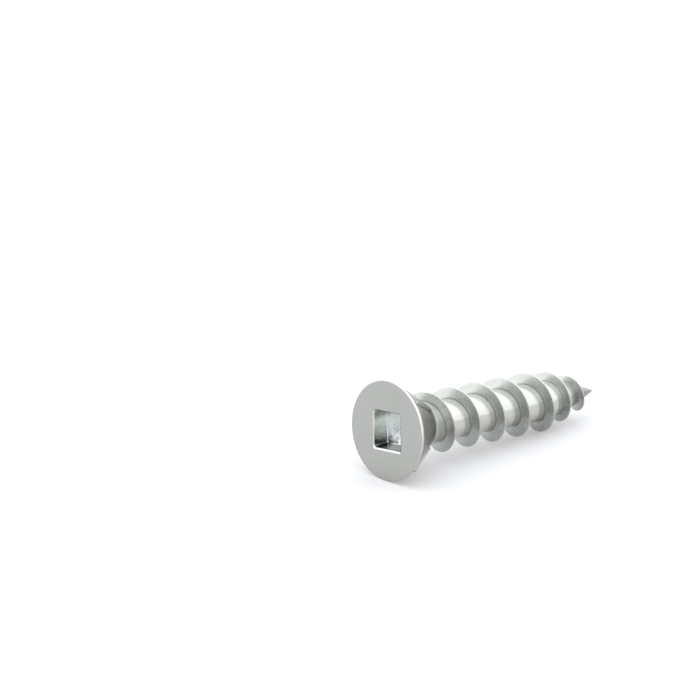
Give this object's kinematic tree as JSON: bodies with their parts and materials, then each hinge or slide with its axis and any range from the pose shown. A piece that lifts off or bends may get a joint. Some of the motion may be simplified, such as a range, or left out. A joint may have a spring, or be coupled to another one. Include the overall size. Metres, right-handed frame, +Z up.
{
  "type": "flat head wood screw",
  "caption": "Flat head wood screw with a square recess, nibs under the cone and a deep coarse thread, lying at rest on its head rim.",
  "frame": {"origin": "centre of the bounding box's bottom face, on the plane the screw lies on", "axes": "+X along the screw, from the head towards the point; +Z up; the screw's axis dips 5.07 degrees towards the point"},
  "size_m": [0.0228, 0.0078, 0.0077],
  "materials": {
    "zinc_plate": "bright zinc plate on steel, satin on the head and shiny on the core"
  },
  "bodies": {
    "root": {"screw": "zinc_plate"}
  },
  "joints": []
}
